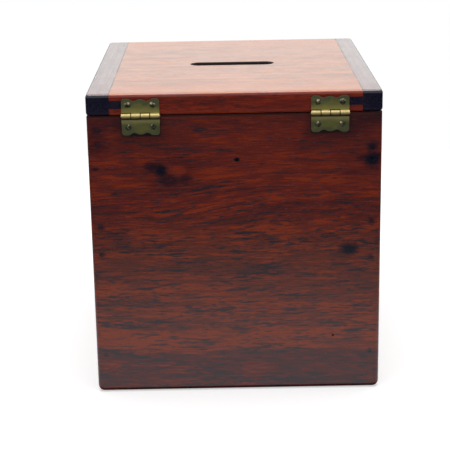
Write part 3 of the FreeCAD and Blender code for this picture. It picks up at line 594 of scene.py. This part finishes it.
def figure(nodes, at, lift=0.0, brighter=0.0, gathered=0.0, calm=0.0, wander=1.0):
    """The figure of wood with its grain along the first axis: tone, dashes, pores and fibre, all 0 to 1.

    The grain is shifted across itself by lift and wanders by a share. The tone rises where brighter is
    above zero, dark dashes crowd where gathered is, and the figure is fainter where calm is.
    """
    along, across, through = nodes.axes(at)
    sway = nodes.swing(at, SWAY_CELL)
    ripple = nodes.swing(at, RIPPLE_CELL)
    bend = (sway * SWAY_REACH + ripple * RIPPLE_REACH) * wander
    bent = nodes.joined(along, across + bend - lift, through)
    bands = nodes.noise(bent, BAND_CELL)
    patches = nodes.noise(bent, PATCH_CELL)
    flame = nodes.noise(bent, FLAME_CELL, detail=3.0)
    streaks = nodes.noise(bent, STREAK_CELL)
    mixed = bands * BAND_SHARE + patches * PATCH_SHARE + flame * FLAME_SHARE + streaks * STREAK_SHARE
    tone = NOISE_MIDDLE + (mixed - NOISE_MIDDLE) * (1 - calm) + brighter
    crowd = nodes.swing(bent, CROWD_CELL) * CROWDING + gathered
    long_dashes = nodes.fade(nodes.noise(bent, LONG_DASH_CELL, detail=1.5) + crowd, *LONG_DASHES)
    short_dashes = nodes.fade(nodes.noise(bent, SHORT_DASH_CELL, detail=1.5) + crowd, *SHORT_DASHES)
    pores = nodes.fade(nodes.noise(bent, PORE_CELL, detail=1.0), *PORES)
    fibre = nodes.noise(bent, FIBRE_CELL)
    return tone, long_dashes.most(short_dashes * SHORT_DASH_DEPTH), pores, fibre


def stained(nodes, tones, figured):
    """The colour of the figure in one set of wood tones."""
    tone, dashes, pores, fibre = figured
    fine = tone + (fibre - NOISE_MIDDLE) * FIBRE_SHIFT
    colour = nodes.mix(nodes.fade(fine, *DEEP_TO_BODY), tones["deep"], tones["body"])
    colour = nodes.mix(nodes.fade(fine, *BODY_TO_BRIGHT), colour, tones["bright"])
    colour = nodes.mix(dashes * DASH_DEPTH, colour, tones["dash"])
    return nodes.mix(pores * PORE_DEPTH, colour, tones["dash"])


def varnished(nodes, colour, figured, coat, worn=0.0):
    """Sockets of varnish over a figured wood, with the weight of its clear coat. Worn parts are duller."""
    tone, dashes, pores, fibre = figured
    relief = fibre * FIBRE_RELIEF - pores * PORE_RELIEF - dashes * DASH_RELIEF
    roughness = VARNISH_ROUGHNESS + tone * TONE_ROUGHNESS + pores * PORE_ROUGHNESS
    return {
        "Base Color": colour,
        "Roughness": roughness + worn * WORN_ROUGHNESS,
        "Coat Weight": coat * (1 - pores * PORE_COAT_LOSS),
        "Coat Roughness": COAT_ROUGHNESS,
        "Normal": nodes.bump(relief, *WOOD_BUMP),
    }


def blot(nodes, at, middle, half, ragged, outer=1.50, inner=0.30):
    """1 within an oval spot, 0 well outside it, with a ragged rim."""
    offset = nodes.vector("DIVIDE", nodes.vector("SUBTRACT", at, middle), half)
    return nodes.fade(nodes.length(offset) + ragged, outer, inner)


def islands(node):
    """Middles of the separate solids of a node, in millimetres."""
    mesh = bmesh.new()
    mesh.from_mesh(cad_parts[node].data)
    bmesh.ops.remove_doubles(mesh, verts=mesh.verts, dist=MERGE_WITHIN)
    left = set(mesh.verts)
    middles = []
    while left:
        found = {left.pop()}
        edge_of_search = set(found)
        while edge_of_search:
            near = {e.other_vert(v) for v in edge_of_search for e in v.link_edges}
            edge_of_search = near - found
            found |= edge_of_search
        left -= found
        low = Vector(min(v.co[i] for v in found) for i in range(3))
        high = Vector(max(v.co[i] for v in found) for i in range(3))
        middles.append((low + high) / 2 * PER_METRE)
    mesh.free()
    return sorted(middles, key=tuple)


def inside_of_case(nodes, here):
    """1 on the faces that look into the box, which were never varnished."""
    x, y, _ = nodes.axes(here)
    within = nodes.fade(abs(x), *past(INNER_SIDE, BARE_PAST_INSIDE))
    return within * nodes.fade(abs(y), *past(INNER_BACK, BARE_PAST_INSIDE))


def hinge_shade_and_grime(nodes, here):
    """Painted shade and dirt on the back of the case round the hinge leaves.

    It is dark close to them with painted shade and dirt, then a faint cloud of dirt, with a painted shadow
    line beneath them.
    """
    x, y, z = nodes.axes(here)
    shade_and_grime = nodes.constant(0.0)
    for side in SIDES:
        leaf = f"{side}_hinge_case_leaf"
        middle, half = span(leaf)
        beside = abs(x - middle.x) - half.x
        gap = beside.most(abs(z - middle.z) - half.z)
        beneath = (beside + SHADOW_SHORTER).most(corner(leaf, 0).z - z)
        layers = ((gap, LEAF_LINE), (gap, LEAF_CLOUD), (beneath, SHADOW_BENEATH))
        for distance, (far, near, depth) in layers:
            shade_and_grime = shade_and_grime.most(nodes.fade(distance, far, near) * depth)
    return shade_and_grime * nodes.fade(y, *past(BACK, BACK_FACE))


def banded(nodes, here, bands):
    """How much brighter the wood is, and how gathered its dashes are, for wavy bands at given heights."""
    _, y, z = nodes.axes(here)
    z = z + nodes.swing(here, BAND_WAVE_CELL) * BAND_WAVE
    outside = nodes.fade(y, *past(INNER_BACK, BANDS_SHOW))
    brighter = 0.0
    gathered = 0.0
    for middle, half, lift, crowd in bands:
        within = nodes.fade(abs(z - middle), half * BAND_END, half * BAND_FULL)
        brighter = brighter + within * lift
        gathered = gathered + within * crowd
    return brighter * outside, gathered * outside


def climbing(nodes, here, start, end, middle, half, rise):
    """How far the grain has climbed on its way past a knot."""
    x, _, z = nodes.axes(here)
    return nodes.fade(x, start, end) * nodes.fade(abs(z - middle), half, 0.0) * rise


def back_mark(nodes, here, middle, half, ragged, *rim):
    """A blot on the face of the back board, with its middle and its half size in x and z."""
    x, z = middle
    wide, tall = half
    return blot(nodes, here, (x, BACK, z), (wide, MARK_REACH, tall), ragged, *rim)


def back_board(nodes):
    """The back board's own figure and marks: its bands, the climb of its grain, its knot and smudges."""
    here = nodes.place()
    _, _, z = nodes.axes(here)
    lift = climbing(nodes, here, *CLIMB)
    brighter, gathered = banded(nodes, here, BACK_BANDS)
    calm = nodes.fade(z, *CALM_HEIGHTS) * CALMNESS
    figured = figure(nodes, nodes.place(ALONG_X, SHIFTS["back_board"]), lift, brighter, gathered, calm)
    ragged = nodes.swing(here, MARK_RIM_CELL, detail=3.0) * MARK_RAGGEDNESS
    stain = nodes.constant(0.0)
    for middle, half, depth in BACK_MARKS:
        stain = stain.most(back_mark(nodes, here, middle, half, ragged) * depth)
    worm_hole = back_mark(nodes, here, *WORM_HOLE, ragged * WORM_HOLE_RAGGEDNESS, *WORM_HOLE_RIM)
    heart = back_mark(nodes, here, *KNOT_HEART, ragged)
    _, dashes, _, _ = figured
    amber = nodes.fade(z, *AMBER_BELOW) * nodes.fade(z, *AMBER_ABOVE) * (1 - dashes) * AMBER_SHARE
    colour = nodes.mix(amber, stained(nodes, RED_WOOD, figured), AMBER_WOOD)
    # Stains, and the worm hole's painted shade
    colour = nodes.mix(stain.most(worm_hole) * (1 - heart), colour, STAIN_AND_HOLE_SHADE)
    colour = nodes.mix(heart * EMBER_SHARE, colour, EMBER)
    return case_board(nodes, here, figured, colour, "back_nails")


def plain_board(nodes, turn, shift, nail_node=None):
    """A board of the case without marks of its own."""
    figured = figure(nodes, nodes.place(turn, shift), gathered=-0.03, calm=0.1)
    return case_board(nodes, nodes.place(), figured, stained(nodes, RED_WOOD, figured), nail_node)


def rubbed_arris(nodes, here):
    """1 in uneven stretches along the case's outer arrises, where hands have thinned the varnish."""
    x, y, z = nodes.axes(here)
    sideways = SIDE - abs(x)
    deep = BACK - abs(y)
    high = z.least(CASE_TOP - z)
    off_edge = sideways.least(deep).most(sideways.most(deep).least(high))
    uneven = nodes.swing(here, thrice(RUB_CELL), detail=4.0)
    return nodes.fade(off_edge + uneven * RUB_UNEVEN, *RUB_WIDTH)


def waxed_over(nodes, z):
    """1 near the floor, where dark wax has filled the nail holes."""
    return nodes.fade(z, *WAXED_BELOW)


def case_board(nodes, here, figured, colour, nail_node):
    """A varnished board of the case: bare inside, with rubbed arrises and stains round its nails.

    Painted shade lies under the lid, along the foot and on the upper edge, with painted shade and dirt
    round the hinges.
    The outer rim of the upper edge is painted dark as shade under the lid and is given as metal, so that
    the rim's gloss stays as dark as its colour.
    """
    x, y, z = nodes.axes(here)
    colour = nodes.mix(rubbed_arris(nodes, here) * RUB_SHARE, colour, RUBBED_WOOD)
    ragged = nodes.swing(here, thrice(NAIL_STAIN_CELL), detail=3.0) * NAIL_STAIN_RAGGEDNESS
    nails = islands(nail_node) if nail_node else []
    for middle in nails:
        spot = blot(nodes, here, tuple(middle), NAIL_STAIN_HALF, ragged)
        share = NAIL_STAIN_SHARE - waxed_over(nodes, z) * WAX_HIDES
        colour = nodes.mix(spot * share, colour, STAIN_AND_HOLE_SHADE)
    under_lid = nodes.fade(z, *past(CASE_TOP, UNDER_LID))
    top = nodes.fade(z, *past(CASE_TOP, UPPER_EDGE))
    rim = top * nodes.fade((SIDE - abs(x)).least(BACK - abs(y)), *RIM_WIDTH)
    foot = nodes.fade(z, *FOOT_HEIGHTS)
    # Painted shadow of the lid under it, painted shade along the foot and on the upper edge, and painted
    # shade and dirt round the hinges
    shade_and_grime = (under_lid * (UNDER_LID_SHADE - x * UNDER_LID_SHADE_PER_MM)).most(foot * FOOT_SHADE)
    shade_and_grime = hinge_shade_and_grime(nodes, here).most(shade_and_grime).most(top * UPPER_EDGE_SHADE)
    colour = nodes.mix(shade_and_grime, colour, SHADE_AND_GRIME)
    bare = inside_of_case(nodes, here)
    colour = nodes.mix(bare, colour, stained(nodes, BARE_WOOD, figured))
    # The rim is painted dark as shade under the lid, and given as metal so that its gloss is dark too
    colour = nodes.mix(rim, colour, RIM_SHADE)
    dull = bare.most(top)
    sockets = varnished(nodes, colour, figured, VARNISH_COAT * (1 - dull), dull)
    return {**sockets, "Metallic": rim}


def slot_shade(nodes, here):
    """1 in the coin slot and on its rounded rim, where shade is painted."""
    x, y, _ = nodes.axes(here)
    past_straight = (abs(x) - (SLOT_HALF.x - SLOT_HALF.y)).most(0.0)
    reach = nodes.length(nodes.joined(past_straight, y, 0.0))
    return nodes.fade(reach - SLOT_HALF.y, *SLOT_RIM)


def lid_board(nodes, turn, shift, varnish, top, handled, under, polish):
    """A board of the lid: faded but polished on top, and richer where it is held.

    Its tones are those of the varnished edges, the faded top, the handled parts and the bare underside.
    polish is the weight of the clear coat on top.
    """
    here = nodes.place()
    at = nodes.place(turn, shift)
    patches = nodes.swing(at, LID_PATCH_CELL, detail=3.0) * LID_PATCHES
    figured = figure(nodes, at, brighter=patches, gathered=-0.02, wander=0.35)
    x, y, z = nodes.axes(here)
    held = nodes.fade(abs(y) + nodes.swing(here, thrice(HELD_CELL), detail=3.0) * HELD_UNEVEN, *HELD_FROM)
    faded = nodes.mix(held * HELD_SHARE, stained(nodes, top, figured), handled)
    on_top = nodes.fade(z, *past(LID_TOP, FADED_TOP))
    rubbed = nodes.fade(abs(z - (LID_TOP + LID_BOTTOM) / 2), *RUBBED_OFF_MIDDLE)
    colour = nodes.mix(rubbed * RUBBED_LID_SHARE, stained(nodes, varnish, figured), varnish["bright"])
    colour = nodes.mix(on_top, colour, faded)
    # Painted shade in the coin slot
    painted_shade = slot_shade(nodes, here)
    colour = nodes.mix(painted_shade, colour, SLOT_SHADE)
    off_joint = abs(x - LID_JOINTS[0]).least(abs(x - LID_JOINTS[1]))
    broken = nodes.fade(nodes.noise(here, thrice(JOINT_BREAK_CELL)), *JOINT_BREAKS)
    joint = nodes.fade(off_joint, *JOINT_WIDTH) * on_top * broken
    colour = nodes.mix(joint * JOINT_DEPTH, colour, JOINT_DIRT)
    bare = nodes.fade(z, *past(LID_BOTTOM, BARE_BOTTOM))
    colour = nodes.mix(bare * (1 - painted_shade), colour, stained(nodes, under, figured))
    lines = nodes.noise(at, SCUFF_LINE_CELL, detail=3.0) * SCUFF_LINE_SHARE
    rounds = nodes.noise(here, thrice(SCUFF_PATCH_CELL), detail=4.0) * SCUFF_PATCH_SHARE
    scuffs = nodes.fade(rounds + lines, *SCUFFS)
    dull = painted_shade.most(bare)
    coat = VARNISH_COAT + on_top * (polish - VARNISH_COAT - scuffs * SCUFF_COAT_LOSS)
    coat = coat * (1 - dull.most(joint * JOINT_COAT_LOSS))
    return varnished(nodes, colour, figured, coat, dull)


def floor_board(nodes, turn, shift):
    """The bottom board: bare wood."""
    figured = figure(nodes, nodes.place(turn, shift))
    return varnished(nodes, stained(nodes, BARE_WOOD, figured), figured, coat=0.0, worn=1.0)


# Metals


def metal_relief(nodes, mottle, speck):
    """The normal of an aged metal face, mottled and specked."""
    return nodes.bump(mottle * MOTTLE_RELIEF + speck * SPECK_RELIEF, *METAL_BUMP)


def from_hinge_axis(nodes, here):
    """The distance from the axis of the hinges, which runs along X."""
    off_axis = nodes.vector("SUBTRACT", here, HINGE_AXIS)
    return nodes.length(nodes.vector("MULTIPLY", off_axis, (0, 1, 1)))


def hinge_spread(nodes, here):
    """How far a point of a hinge leaf lies in from its edge, and how far from a gap between knuckles."""
    x, _, z = nodes.axes(here)
    inward = nodes.constant(OUTSIDE_LEAF)
    off_gap = nodes.constant(FAR_FROM_GAP)
    for side in SIDES:
        for leaf in ("lid_leaf", "case_leaf"):
            middle, half = span(f"{side}_hinge_{leaf}")
            from_edge = (half.x - abs(x - middle.x)).least(half.z - abs(z - middle.z))
            inward = inward.most(from_edge)
        for gap in KNUCKLE_GAPS:
            off_gap = off_gap.least(abs(x - (middle.x + half.x * gap)))
    return inward, off_gap


def hinge_brass(nodes):
    """Brass gone olive at the leaves' edges, golden in their middles and rubbed bright on the barrel, with
    painted shade in the crease and the knuckle gaps and a painted highlight on the bend.
    """
    here = nodes.place()
    inward, off_gap = hinge_spread(nodes, here)
    mottle = nodes.noise(here, thrice(HINGE_MOTTLE_CELL), detail=4.0)
    speck = nodes.noise(here, thrice(HINGE_SPECK_CELL))
    reach = from_hinge_axis(nodes, here)
    barrel = nodes.fade(reach, *BARREL_WITHIN)
    uneven = (mottle - NOISE_MIDDLE) * MOTTLE_UNEVEN + (speck - NOISE_MIDDLE) * SPECK_UNEVEN
    colour = nodes.mix(nodes.fade(inward + uneven, *GOLDEN_INWARD), HINGE_OLIVE, HINGE_GOLD)
    green = nodes.fade(nodes.noise(here, GREEN_CELL, detail=3.0), *GREEN_PATCHES)
    colour = nodes.mix(green * GREEN_SHARE, colour, HINGE_GREEN)
    yellow = nodes.fade(reach + uneven * YELLOW_UNEVEN, *YELLOW_WITHIN)
    colour = nodes.mix(yellow, colour, HINGE_YELLOW)
    colour = nodes.mix(barrel, colour, HINGE_BARREL)
    _, _, z = nodes.axes(here)
    below = HINGE_AXIS.z - z
    # A painted highlight on the bend of the case leaf
    bend = nodes.fade(below, *BEND_UPPER) * nodes.fade(below, *BEND_LOWER)
    colour = nodes.mix(bend * BEND_HIGHLIGHT_SHARE, colour, HINGE_BEND_HIGHLIGHT)
    crease = nodes.fade(below, *CREASE_UPPER) * nodes.fade(below, *CREASE_LOWER)
    in_crease = crease * nodes.fade(reach, *CREASE_WITHIN) * CREASE_SHARE
    # Painted shade in the knuckle gaps and in the crease under the barrel
    painted_shade = (barrel * nodes.fade(off_gap, *GAP_SHADE)).most(in_crease)
    roughness = LEAF_ROUGHNESS + barrel * BARREL_ROUGHNESS
    return {
        "Base Color": nodes.mix(painted_shade * HINGE_SHADE_SHARE, colour, HINGE_SHADE),
        "Metallic": LEAF_METALLIC + barrel * BARREL_METALLIC,
        "Roughness": roughness + (speck - NOISE_MIDDLE) * HINGE_SPECK_ROUGHNESS,
        "Normal": metal_relief(nodes, mottle, speck),
    }


def nail_head(nodes):
    """A sunk nail head: dark iron under varnish, darker in the smudge and hidden by wax near the floor."""
    here = nodes.place()
    rust = nodes.noise(here, thrice(RUST_CELL), detail=3.0)
    iron = nodes.mix(nodes.fade(rust, *RUST), NAIL_IRON, NAIL_RUST)
    for middle, half, depth in SMUDGE:
        iron = nodes.mix(back_mark(nodes, here, middle, half, 0.0) * depth, iron, STAIN_AND_HOLE_SHADE)
    _, _, z = nodes.axes(here)
    return {
        "Base Color": nodes.mix(waxed_over(nodes, z) * WAX_DEPTH, iron, RED_WOOD["dash"]),
        "Roughness": NAIL_ROUGHNESS + rust * RUST_ROUGHNESS,
        "Coat Weight": NAIL_COAT + rust * RUST_COAT,
        "Coat Roughness": COAT_ROUGHNESS,
        "Normal": nodes.bump(rust, *NAIL_BUMP),
    }


def aged_metal(nodes, clean, tarnish, cell, roughness, tarnished):
    """Metal with a mottled tarnish. tarnished is the share that has gone dull."""
    here = nodes.place()
    mottle = nodes.noise(here, thrice(cell), detail=4.0)
    speck = nodes.noise(here, thrice(cell / SPECKS_PER_PATCH))
    patchy = mottle + (speck - NOISE_MIDDLE) * SPECK_TARNISH
    dull = nodes.fade(patchy, *(limit - tarnished * TARNISH_MOVE for limit in TARNISH))
    rough = roughness + dull * TARNISH_ROUGHNESS
    return {
        "Base Color": nodes.mix(dull, clean, tarnish),
        "Metallic": 1.0 - dull * TARNISH_METAL_LOSS,
        "Roughness": rough + (speck - NOISE_MIDDLE) * SPECK_ROUGHNESS,
        "Normal": metal_relief(nodes, mottle, speck),
    }


# Who wears what


def dress(names, material):
    """Gives the named CAD nodes one material."""
    for name in names:
        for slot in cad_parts[name].material_slots:
            slot.material = material


def dress_wood():
    """Gives every wooden piece a wood of its own."""
    dress(["back_board"], finish("back_board_wood", back_board))
    front = finish("front_board_wood", plain_board, ALONG_X, SHIFTS["front_board"], "front_nails")
    dress(["front_board"], front)
    for side in SIDES:
        board = f"{side}_side_board"
        dress([board], finish(f"{side}_side_wood", plain_board, ALONG_Y, SHIFTS[board]))
    red = (LID_EDGE_WOOD, FADED_WOOD, HANDLED_WOOD, BARE_WOOD)
    dark = (DARK_WOOD, WORN_DARK_WOOD, HANDLED_DARK_WOOD, BARE_DARK_WOOD)
    lid = {
        "lid_panel": (FLAT_ALONG_X, red),
        "lid_end_left": (FLAT_ALONG_Y, dark),
        "lid_end_right": (FLAT_ALONG_Y, dark),
    }
    for piece, (turn, tones) in lid.items():
        wood = finish(f"{piece}_wood", lid_board, turn, SHIFTS[piece], *tones, LID_POLISH[piece])
        dress([piece], wood)
    bottom = finish("bottom_board_wood", floor_board, FLAT_ALONG_X, SHIFTS["bottom_board"])
    dress(["bottom_board"], bottom)


def dress_metal():
    """Gives the hinges, screws, lock, key and nails their metals."""
    hinges = [f"{side}_hinge_{piece}" for side in SIDES for piece in ("lid_leaf", "case_leaf", "pin")]
    dress(hinges, finish("hinge_brass", hinge_brass))
    screws = ["lid_hinge_screws", "case_hinge_screws", "lock_screws", "strike_screws", "escutcheon_pins"]
    dress(screws, finish("screw_brass", aged_metal, *SCREW_BRASS))
    dress(["lock_plate", "strike_plate", "escutcheon"], finish("lock_brass", aged_metal, *LOCK_BRASS))
    works = ["lock_cap", "lock_pins", "lock_rivets", "lock_spring", "lock_bolt"]
    dress(works, finish("lock_steel", aged_metal, *LOCK_STEEL))
    dress(["key"], finish("key_steel", aged_metal, *KEY_STEEL))
    dress(["back_nails", "front_nails"], finish("nail_iron", nail_head))


# Studio


def camera_and_mirror_rays(nodes):
    """1 for rays straight from the camera, and 1 for rays that a surface has mirrored or let through."""
    camera = nodes.node("ShaderNodeLightPath", {}, {}, "Is Camera Ray")
    return camera, camera.sibling("Is Glossy Ray").most(camera.sibling("Is Transmission Ray"))


def studio_world():
    """White to the camera, a pale sky over darkness in reflections, and a low ambient light."""
    world = bpy.data.worlds.new("studio")
    bpy.context.scene.world = world
    world.use_nodes = True
    nodes = Nodes(world.node_tree)
    camera, mirrored = camera_and_mirror_rays(nodes)
    direction = nodes.node("ShaderNodeTexCoord", {}, {}, "Generated")
    _, _, height = nodes.axes(direction)
    low_sky = nodes.fade(height, *LOW_SKY)
    sky_strength = ZENITH_SEEN_IN_GLOSS + low_sky * (SKY_SEEN_IN_GLOSS - ZENITH_SEEN_IN_GLOSS)
    sky = nodes.fade(height, -HORIZON_SOFTNESS, HORIZON_SOFTNESS)
    seen_in_gloss = DARK_SEEN_IN_GLOSS + sky * (sky_strength - DARK_SEEN_IN_GLOSS)
    other = mirrored * seen_in_gloss + (1 - mirrored) * AMBIENT
    strength = camera + (1 - camera) * other
    nodes.fill(world.node_tree.nodes["Background"], {"Color": (*WHITE, 1), "Strength": strength})


def paper_finish():
    """Pale paper that keeps the shadow, shows white where it is lit and fades away in reflections."""
    material = bpy.data.materials.new("paper")
    material.use_nodes = True
    nodes = Nodes(material.node_tree)
    camera, mirrored = camera_and_mirror_rays(nodes)
    matt = nodes.node("ShaderNodeBsdfDiffuse", {}, {"Color": (*thrice(PAPER_TONE), 1)})
    glow = nodes.node("ShaderNodeEmission", {}, {"Color": nodes.mix(camera, BLACK, thrice(PAPER_GLOW))})
    lit = nodes.node("ShaderNodeAddShader", {}, {0: matt, 1: glow})
    reach = nodes.length(nodes.place()) / PER_METRE
    slant = nodes.node("ShaderNodeLayerWeight", {}, {"Blend": SLANT_BLEND}, "Facing")
    near_box = nodes.fade(reach, PAPER_DARK_BEYOND, PAPER_BRIGHT_WITHIN)
    strength = near_box * nodes.fade(slant, *SHADED_SLANT)
    tint = nodes.mix(strength, BLACK, PAPER_SEEN_IN_GLOSS)
    in_gloss = nodes.node("ShaderNodeEmission", {}, {"Color": tint})
    seen = nodes.node("ShaderNodeMixShader", {}, {0: mirrored, 1: lit, 2: in_gloss})
    nodes.fill(material.node_tree.nodes["Material Output"], {"Surface": seen})
    return material


def paper_floor():
    """The sheet of paper, just below the box."""
    sheet = bmesh.new()
    below_box = Matrix.Translation((0, 0, -PAPER_GAP))
    bmesh.ops.create_grid(sheet, x_segments=1, y_segments=1, size=PAPER_HALF, matrix=below_box)
    mesh = bpy.data.meshes.new("paper")
    sheet.to_mesh(mesh)
    sheet.free()
    mesh.materials.append(paper_finish())
    paper = bpy.data.objects.new("paper", mesh)
    bpy.context.scene.collection.objects.link(paper)


def top_lamp():
    """A square soft lamp that shines straight down."""
    data = bpy.data.lights.new("top_lamp", "AREA")
    data.shape = "SQUARE"
    data.size = TOP_LAMP_SIZE
    data.energy = TOP_LAMP_POWER
    made = bpy.data.objects.new("top_lamp", data)
    made.location = (0, 0, TOP_LAMP_HEIGHT)
    bpy.context.scene.collection.objects.link(made)


def turned(angle, axis):
    """A turn by degrees about an axis."""
    return Matrix.Rotation(math.radians(angle), 4, axis)


def photo_camera():
    """The camera where the photograph was taken from."""
    data = bpy.data.cameras.new("camera")
    data.lens = CAMERA_LENS
    made = bpy.data.objects.new("camera", data)
    aimed = Matrix.Translation(CAMERA_PLACE) @ turned(CAMERA_HEADING, "Z") @ turned(CAMERA_PITCH, "X")
    made.matrix_world = aimed @ turned(CAMERA_ROLL, "Y") @ turned(CAMERA_LEVEL, "X")
    bpy.context.scene.collection.objects.link(made)
    bpy.context.scene.camera = made


dress_wood()
dress_metal()
studio_world()
paper_floor()
top_lamp()
photo_camera()
bpy.context.scene.view_settings.view_transform = "Standard"
